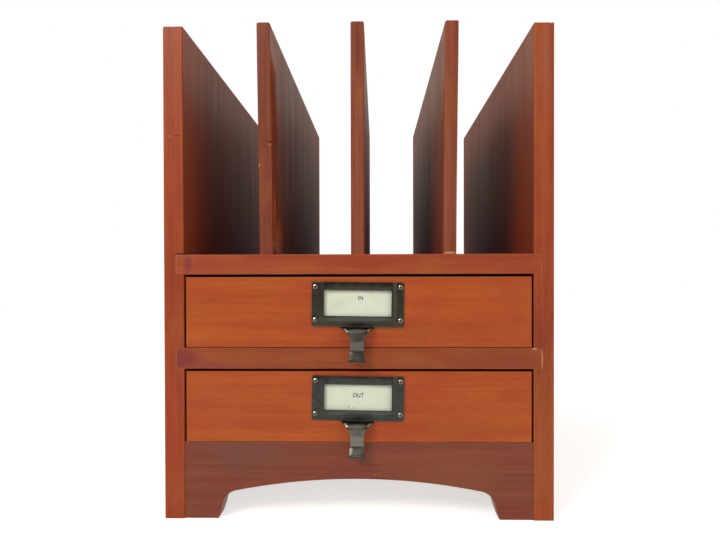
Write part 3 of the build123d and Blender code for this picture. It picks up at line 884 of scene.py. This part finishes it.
def pull_tone_and_painted_light(low, tab_colour):
    """The tab's colour below its shoulder, and the pull's painted highlights, reflection and shade.

    The plate's lower edge is at z = low mm.
    """
    return [
        # The tab is lighter below its shoulder.
        ((-0.5, -160.0, low - 13.5), (12, 9, 13.5), tab_colour, 0.35, 0.9),
        # Painted reflection on the frame's lower slope, then painted shade on the flange and in the
        # crease above the tab.
        ((0.0, -157.0, low + 5.4), (29, 6, 2.2), "#52524E", 0.35, 0.7),
        ((0.0, -156.0, low + 1.3), (30, 6, 1.0), "#1E1C19", 0.7, 0.5),
        ((0.0, -156.0, low + 1.5), (11, 6, 2.2), "#161412", 0.8, 0.85),
        # Painted highlights on the shoulder and on its corners.
        ((0.0, -160.5, low - 2.4), (10, 4, 2.0), "#86847C", 0.7, 0.75),
        ((-9.2, -160.5, low - 1.3), (1.5, 5, 0.8), "#E4E2DA", 0.7, 0.95),
        ((-8.0, -160.5, low - 2.3), (1.0, 5, 1.0), "#D8D6CE", 0.7, 0.8),
        ((8.8, -160.5, low - 1.3), (1.5, 5, 0.8), "#E4E2DA", 0.7, 0.95),
        ((7.6, -160.5, low - 2.3), (1.0, 5, 1.0), "#D8D6CE", 0.7, 0.8),
        # Painted shade at the pinch and under the tip.
        ((-0.5, -160.5, low - 17.4), (9, 6, 1.6), "#3E3D38", 0.9, 0.7),
        ((-0.5, -163.0, low - 24.0), (9, 4, 1.1), "#2A2824", 0.7, 0.8),
    ]


PULL_LOW = {"upper": 138.7, "lower": 71.3}  # mm
# The two pulls are the same hardware, but each gets its own copy of the finish, and the lower one
# is painted lighter, most of all on its tab: a lit and a shaded copy of one finish.
steel = {
    "upper": bronzed_steel(
        "bronzed_steel_upper", "#36332C", "#423F37", "#7C796E", 1.0, 0.37,
        pull_tone_and_painted_light(PULL_LOW["upper"], "#5C5C54"),
    ),
    "lower": bronzed_steel(
        "bronzed_steel_lower", "#363632", "#444440", "#7E7C74", 6.0, 0.37,
        pull_tone_and_painted_light(PULL_LOW["lower"], "#74716A"),
    ),
}
print("metals:", [m.name for m in bpy.data.materials if "steel" in m.name])

# %% Pulls and screws in place
DRAWER_FACE = -153.7 * MM
LEAN = {"upper": math.radians(0.8), "lower": math.radians(1.0)}
SCREWS_AT = [(-30.55, 4.6), (30.55, 4.6), (-30.55, 28.4), (30.55, 28.4)]  # mm on the plate
FIRST_SPIN, NEXT_SPIN = 0.5, 1.3  # radians, so that no two recesses stand alike
# Painted light on each screw head: painted shade on its lower rim and in its cross recess, and a
# painted highlight on its upper rim.
HEAD_LIGHT_AND_SHADE = [
    ((0.0, 0, -1.3), (1.5, 9, 0.9), "#6A4A3A", 0.6, 0.8),
    ((-0.3, 0, 1.25), (1.6, 9, 0.8), "#ECE6DC", 0.5, 0.95),
    ((0.1, 0, -0.1), (1.15, 9, 1.15), "#060504", 0.3, 1.0),
]


def seat(drawer):
    """The matrix from the pull's own place to its place on a drawer front."""
    middle = Matrix.Translation((0, 0, PLATE_HEIGHT / 2))
    lean = middle @ Matrix.Rotation(LEAN[drawer], 4, "Y") @ middle.inverted()
    return Matrix.Translation((0, DRAWER_FACE, PULL_LOW[drawer] * MM)) @ lean


for drawer in ("upper", "lower"):
    piece = copied(pull, f"{drawer}_pull_sheet", seat(drawer))
    piece.data.materials.append(steel[drawer])
    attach(piece, f"{drawer}_drawer")
    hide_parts(f"{drawer}_drawer_pull")
    heads, marks = [], []
    for index, (x, z) in enumerate(SCREWS_AT):
        spin = Matrix.Rotation(FIRST_SPIN + NEXT_SPIN * index, 4, "Y")
        place = seat(drawer) @ Matrix.Translation((x * MM, -SHEET, z * MM)) @ spin
        heads.append(copied(screw, f"{drawer}_screw_head_{index}", place))
        middle = place.translation / MM
        marks += [(middle + Vector(off), *looks) for off, *looks in HEAD_LIGHT_AND_SHADE]
    screw_steel = bronzed_steel(
        f"bronzed_steel_{drawer}_screws", "#6C5E54", "#8C7E72", "#B8AEA2", 3.0, 0.22, marks
    )
    bpy.ops.object.select_all(action="DESELECT")
    for head in heads:
        head.data.materials.append(screw_steel)
        head.select_set(True)
    bpy.context.view_layer.objects.active = heads[0]
    bpy.ops.object.join()
    heads[0].name = f"{drawer}_screw_heads"
    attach(heads[0], f"{drawer}_drawer")
    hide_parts(f"{drawer}_drawer_pull_screws")
for model in (pull, screw):
    bpy.data.objects.remove(model)
print("pulls in place at z mm:", PULL_LOW)

# %% [markdown]
# ## The paper labels
#
# A label is a slip of pale card that drops in behind the frame and bows a little towards the
# window. It is a plane that is cut into strips, whose edges are moved forward one by one, and then
# given its thickness. The words are printed: plain IN and OUT in Blender's own sans serif.

# %% Paper
def label_paper(name, seed, marks):
    """Uncoated card: pale greenish cream, faintly mottled by its fibres."""
    material, tree, here = fresh_material(name)
    shifted = add(tree, "ShaderNodeMapping", Vector=here, Location=(seed, 0, 0)).outputs[0]
    mottle = noise(tree, shifted, scale=1 / (7.0 * MM), detail=4.0, roughness=0.6)
    card = tinted(
        tree, mottle, (0.0, "#D8DFC8"), (0.4, "#DDE5D0"), (0.62, "#E2E9D8"), (1.0, "#E6EDDC")
    )
    fibres = noise(tree, here, scale=1 / (0.4 * MM), detail=2.0)
    coat(
        tree, Base_Color=masked(tree, here, card, marks), Roughness=0.8, IOR=1.45,
        Normal=bumped(tree, fibres, 0.2, 0.02),
    )
    return material


def printing_ink():
    """Black printing ink: matt, soaked into the card."""
    material, tree, here = fresh_material("printing_ink")
    soak = noise(tree, here, scale=1 / (0.6 * MM), detail=2.0)
    black = tinted(tree, soak, (0.0, "#0E0F0C"), (1.0, "#1E1F1A"))
    coat(tree, Base_Color=black, Roughness=0.75, IOR=1.45)
    return material


ink = printing_ink()
print("ink and paper are ready")

# %% Cards and words
CARD_HALF, CARD_LOW, CARD_HIGH = 26.1 * MM, 4.45 * MM, 30.6 * MM
CARD_OUT, CARD_THICK, BOW, STRIPS = 0.1 * MM, 0.3 * MM, 0.45 * MM, 6
INK_LIFT, INK_HALF, CAP_SHARE, SQUEEZE = 0.02 * MM, 0.01 * MM, 0.7, 0.84


def bow(x):
    """How far the card stands forward at this x."""
    return BOW * math.cos(math.pi * x / (2 * CARD_HALF)) ** 2


def make_card(name):
    """A bowed slip of card, placed like the pull's model."""
    bpy.ops.mesh.primitive_plane_add(
        size=1.0, location=(0, -CARD_OUT, (CARD_LOW + CARD_HIGH) / 2),
        rotation=(math.radians(90), 0, 0),
    )
    card = bpy.context.object
    card.name = name
    card.scale = (2 * CARD_HALF, CARD_HIGH - CARD_LOW, 1.0)
    bpy.ops.object.transform_apply(location=True, rotation=True, scale=True)
    bpy.ops.object.mode_set(mode="EDIT")
    lines = [step / STRIPS * CARD_HALF for step in range(1 - STRIPS, STRIPS)]
    for line in lines:
        cut("x", line)
    for line in lines:
        pick("VERT", lambda c: abs(c.x - line) < NEAR)
        bpy.ops.transform.translate(value=(0, -bow(line), 0))
    bpy.ops.object.mode_set(mode="OBJECT")
    wall = card.modifiers.new("card", "SOLIDIFY")
    wall.thickness, wall.offset = CARD_THICK, -1.0
    apply_all(card)
    bpy.ops.object.shade_smooth_by_angle(angle=math.radians(35))
    return card


WORDS = {"upper": ("IN", 1.9, 20.5), "lower": ("OUT", 0.2, 18.1)}  # the word, its x and z in mm
WORD_HEIGHT = 3.0 * MM
LABELS = {
    "upper": (1.0, [((-15.0, -154.0, 155.0), (9, 5, 6), "#D2D8BC", 0.9, 0.6)]),
    "lower": (4.0, [
        ((-6.7, -154.2, 81.4), (0.9, 4, 1.2), "#B09A58", 0.7, 0.9),
        ((-3.3, -154.2, 80.4), (1.3, 4, 0.7), "#C0AC6A", 0.7, 0.9),
    ]),
}
for drawer, (word, x, z) in WORDS.items():
    card = make_card(f"{drawer}_label")
    card.data.transform(seat(drawer))
    card.data.materials.append(label_paper(f"label_card_{drawer}", *LABELS[drawer]))
    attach(card, f"{drawer}_drawer")
    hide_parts(f"{drawer}_drawer_card")
    bpy.ops.object.text_add(location=(0, 0, 0))
    text = bpy.context.object
    text.data.body = word
    text.data.align_x, text.data.align_y = "CENTER", "CENTER"
    text.data.size = WORD_HEIGHT / CAP_SHARE
    text.data.offset, text.data.extrude = 0.05 * MM, INK_HALF
    text.data.space_character = 1.08
    bpy.ops.object.convert(target="MESH")
    text = bpy.context.object
    text.name = text.data.name = f"{drawer}_label_print"
    upright = Matrix.Rotation(math.radians(90), 4, "X") @ Matrix.Diagonal((SQUEEZE, 1.0, 1.0, 1.0))
    place = Matrix.Translation((x * MM, -CARD_OUT - INK_LIFT - bow(x * MM), z * MM))
    text.data.transform(seat(drawer) @ place @ upright)
    text.data.materials.clear()
    text.data.materials.append(ink)
    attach(text, f"{drawer}_drawer")
    print(word, "stands", round(text.dimensions[2] / MM, 2), "mm high")

# %% [markdown]
# ## Finish

# %% Finish
bpy.ops.object.select_all(action="DESELECT")
bpy.context.view_layer.update()
